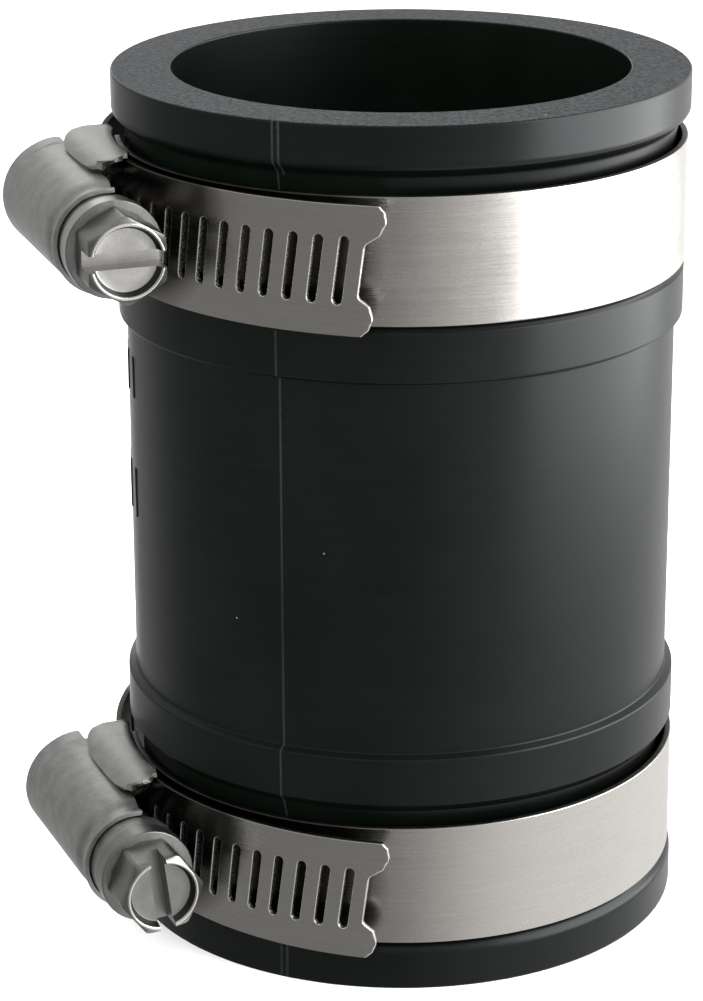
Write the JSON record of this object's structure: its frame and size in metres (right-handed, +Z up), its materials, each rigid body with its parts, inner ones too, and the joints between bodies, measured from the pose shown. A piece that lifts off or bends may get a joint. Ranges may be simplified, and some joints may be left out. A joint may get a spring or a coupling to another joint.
{
  "type": "pipe coupling",
  "caption": "Flexible rubber pipe coupling: flanged sleeve with a loose worm-drive band clamp in a groove at each end.",
  "frame": {"origin": "centre of the lower pipe mouth, on the sleeve's bottom face", "axes": "+Z up the sleeve axis; the clamp housings are on the -X side with their screw heads towards -Y"},
  "size_m": [0.0717, 0.0654, 0.0926],
  "materials": {
    "rubber": "matt black elastomer with a soft grey sheen",
    "band_steel": "bright rolled stainless strip",
    "housing_steel": "tumbled satin stainless sheet",
    "screw_steel": "satin stainless with bright turned edges"
  },
  "bodies": {
    "sleeve": {"sleeve": "rubber"},
    "upper_clamp": {"upper_band_loop": "band_steel", "upper_band_bow": "band_steel", "upper_saddle": "housing_steel", "upper_housing": "housing_steel"},
    "upper_tail": {"upper_band_tail": "band_steel"},
    "upper_screw": {"upper_screw": "screw_steel"},
    "lower_clamp": {"lower_band_loop": "band_steel", "lower_band_bow": "band_steel", "lower_saddle": "housing_steel", "lower_housing": "housing_steel"},
    "lower_tail": {"lower_band_tail": "band_steel"},
    "lower_screw": {"lower_screw": "screw_steel"}
  },
  "joints": [
    {"name": "upper_swivel", "type": "hinge", "parent": "sleeve", "child": "upper_clamp", "pos_m": [0, 0, 0.079], "axis": [0, 0, 1], "continuous": true},
    {"name": "upper_screw_turn", "type": "hinge", "parent": "upper_clamp", "child": "upper_screw", "pos_m": [-0.0353, 0, 0.079], "axis": [0, 1, 0], "range_deg": [-3600, 1980]},
    {"name": "upper_tail_feed", "type": "hinge", "parent": "upper_clamp", "child": "upper_tail", "pos_m": [0.0048, 0, 0.079], "axis": [0, 0, 1], "range_deg": [-42.19, 23.25], "deforming": ["upper_band_bow"]},
    {"name": "lower_swivel", "type": "hinge", "parent": "sleeve", "child": "lower_clamp", "pos_m": [0, 0, 0.0118], "axis": [0, 0, 1], "continuous": true},
    {"name": "lower_screw_turn", "type": "hinge", "parent": "lower_clamp", "child": "lower_screw", "pos_m": [-0.03525, -0.00185, 0.0118], "axis": [-0.0523, 0.9986, 0], "range_deg": [-3600, 1980]},
    {"name": "lower_tail_feed", "type": "hinge", "parent": "lower_clamp", "child": "lower_tail", "pos_m": [0.00479, 0.00025, 0.0118], "axis": [0, 0, 1], "range_deg": [-42.19, 23.25], "deforming": ["lower_band_bow"]}
  ],
  "couplings": [
    {"joint": "upper_tail_feed", "follows": "upper_screw_turn", "ratio": 0.011691},
    {"joint": "lower_tail_feed", "follows": "lower_screw_turn", "ratio": 0.011691}
  ]
}
